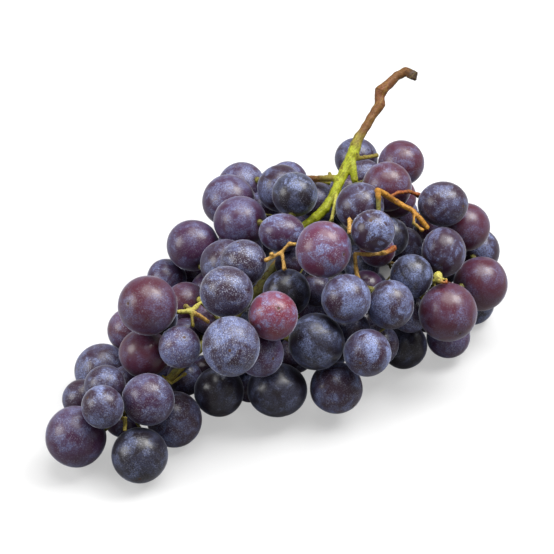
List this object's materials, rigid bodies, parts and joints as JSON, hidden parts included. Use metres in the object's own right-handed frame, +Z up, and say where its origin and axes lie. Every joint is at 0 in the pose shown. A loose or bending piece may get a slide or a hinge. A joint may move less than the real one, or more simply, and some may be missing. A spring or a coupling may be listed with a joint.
{
  "type": "bunch of grapes",
  "caption": "Cut bunch of ripe dark purple grapes lying on its side, with a hooked woody stem end, green stalks and bloom on the berries.",
  "frame": {"origin": "on the table, under the middle of the bunch's bounding box", "axes": "+Z up from the table, +X from the bunch's tip towards its shoulder, +Y away from the front berries towards the back of the bunch"},
  "size_m": [0.1788, 0.1716, 0.0866],
  "materials": {
    "berry_skin": "satin",
    "stem": "matte"
  },
  "bodies": {
    "root": {"berries_back_left": "berry_skin", "berries_back_right": "berry_skin", "berries_crown": "berry_skin", "berries_crown_left": "berry_skin", "berries_front": "berry_skin", "berries_front_left": "berry_skin", "berries_front_right": "berry_skin", "berries_left_high": "berry_skin", "berries_left_low": "berry_skin", "berries_shoulder_high": "berry_skin", "berries_shoulder_low": "berry_skin", "berries_tip": "berry_skin", "stem": "stem"}
  },
  "joints": []
}
